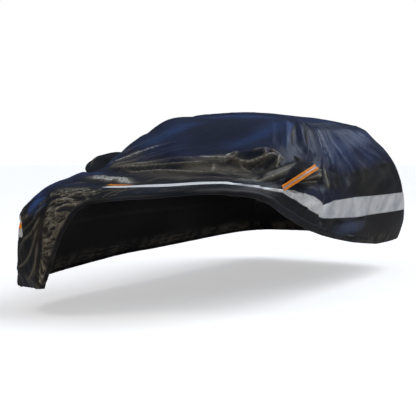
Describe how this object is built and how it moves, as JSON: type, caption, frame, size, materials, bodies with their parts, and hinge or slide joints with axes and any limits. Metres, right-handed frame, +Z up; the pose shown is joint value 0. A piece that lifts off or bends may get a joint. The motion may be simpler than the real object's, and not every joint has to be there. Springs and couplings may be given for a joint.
{
  "type": "car cover",
  "caption": "Fitted cloth cover for a small car, open underneath, with mirror pockets, a reflective band and a gathered hem drawn back up over its front left corner.",
  "frame": {"origin": "just under the roof cloth, in the middle of its width, where the cover rests on what it covers", "axes": "+X towards the cover's left side, +Y towards its tail, +Z up"},
  "size_m": [2.0707, 4.236, 1.2898],
  "materials": {
    "navy_cloth": "coated ripstop weave, slightly glossy",
    "black_cloth": "coated plain weave, slightly glossy",
    "silver_tape": "reflective woven tape, satin",
    "orange_tape": "woven tape, matt"
  },
  "bodies": {
    "root": {"front_panel": "navy_cloth", "roof_panel": "navy_cloth", "side_panel_left": "navy_cloth", "side_panel_right": "navy_cloth", "mirror_pocket_left": "black_cloth", "mirror_pocket_right": "black_cloth", "band_front": "silver_tape", "band_left": "silver_tape", "band_rear": "silver_tape", "band_right": "silver_tape", "skirt_front": "black_cloth", "skirt_left": "black_cloth", "skirt_rear": "black_cloth", "skirt_right": "black_cloth", "mirror_tape_left": "orange_tape", "mirror_tape_right": "orange_tape", "mirror_line_left": "silver_tape", "mirror_line_right": "silver_tape", "front_tape": "orange_tape", "corner_tape": "orange_tape"}
  },
  "joints": []
}
